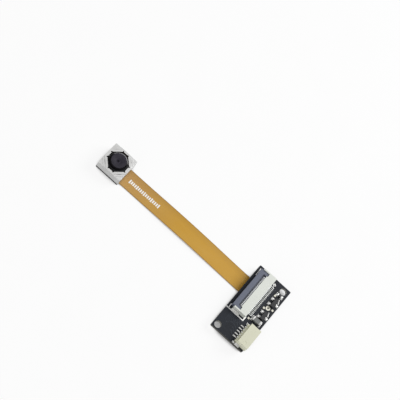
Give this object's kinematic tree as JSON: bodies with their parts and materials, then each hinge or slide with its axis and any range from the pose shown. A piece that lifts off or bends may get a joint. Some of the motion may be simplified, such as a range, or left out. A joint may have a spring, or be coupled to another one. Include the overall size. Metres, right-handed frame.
{
  "type": "camera module",
  "caption": "Small autofocus camera head on a golden flexible circuit, plugged into a narrow board with a ribbon connector and a wire connector.",
  "frame": {"origin": "lens axis at the back face of the camera head, which is the plane that the part rests on", "axes": "+X from the camera head along the flexible circuit to the board, +Z out of the lens, +Y to the board's ribbon connector end"},
  "size_m": [0.0687, 0.0249, 0.005],
  "materials": {
    "polyimide": "glossy golden film",
    "stiffener": "matt black laminate",
    "sensor_silicon": "polished die on a dark tray",
    "chip_epoxy": "matt moulding compound",
    "holder_plastic": "matt black moulding",
    "filter_glass": "coated, clear with a blue cast",
    "can_steel": "satin",
    "magnet_plate": "nickel plated",
    "spring_copper": "rolled and darkened",
    "carrier_plastic": "matt dark grey moulding",
    "coil_wire": "enamelled",
    "barrel_plastic": "fine matt black",
    "lens_plastic": "coated, clear with a violet cast",
    "board_laminate": "blue-black solder mask",
    "housing_plastic": "matt white moulding",
    "slider_plastic": "matt blue-grey moulding",
    "header_plastic": "matt cream moulding",
    "tinned_copper": "bright tin",
    "gold_contact": "gold flash",
    "resistor_body": "glazed black top",
    "capacitor_body": "fired grey beige",
    "crystal_tray": "matt ceramic",
    "connector_black": "matt black moulding"
  },
  "bodies": {
    "camera_body": {"flex_circuit": "polyimide", "head_stiffener": "stiffener", "tail_stiffener": "stiffener", "image_sensor": "sensor_silicon", "head_capacitors": "capacitor_body", "focus_driver_chip": "chip_epoxy", "sensor_holder": "holder_plastic", "infrared_filter": "filter_glass", "shield_can": "can_steel", "actuator_base": "holder_plastic", "corner_magnets": "magnet_plate", "lower_spring": "spring_copper", "upper_spring": "spring_copper", "circuit_board": "board_laminate", "ribbon_connector_housing": "housing_plastic", "ribbon_connector_contacts": "tinned_copper", "ribbon_connector_tabs": "tinned_copper", "wire_connector_housing": "header_plastic", "wire_connector_contacts": "tinned_copper", "wire_connector_tabs": "tinned_copper", "upper_regulator_body": "chip_epoxy", "upper_regulator_leads": "tinned_copper", "lower_regulator_body": "chip_epoxy", "lower_regulator_leads": "tinned_copper", "chip_resistor_body": "resistor_body", "chip_resistor_terminals": "tinned_copper", "supply_capacitor_body": "capacitor_body", "supply_capacitor_terminals": "tinned_copper", "test_pads": "tinned_copper", "board_socket": "connector_black", "board_socket_contacts": "gold_contact", "flex_plug": "connector_black", "flex_plug_contacts": "gold_contact", "controller_chip": "chip_epoxy", "controller_chip_pads": "tinned_copper", "memory_chip": "chip_epoxy", "memory_chip_pads": "tinned_copper", "crystal_base": "crystal_tray", "crystal_lid": "can_steel", "decoupling_capacitors": "capacitor_body", "decoupling_capacitor_terminals": "tinned_copper"},
    "lens_group": {"lens_carrier": "carrier_plastic", "focus_coil": "coil_wire", "lens_barrel": "barrel_plastic", "front_lens": "lens_plastic", "second_lens": "lens_plastic", "third_lens": "lens_plastic", "rear_lens": "lens_plastic", "lens_retainer": "barrel_plastic"},
    "ribbon_lock": {"ribbon_connector_slider": "slider_plastic"}
  },
  "joints": [
    {"name": "focus_travel", "type": "slide", "parent": "camera_body", "child": "lens_group", "axis": [0, 0, 1], "range_m": [0, 0.00025], "stiffness_N_per_m": 30, "springref_m": -0.00005, "deforming": ["lower_spring", "upper_spring"]},
    {"name": "lock_slide", "type": "slide", "parent": "camera_body", "child": "ribbon_lock", "axis": [1, 0, 0], "range_m": [0, 0.0009]}
  ]
}
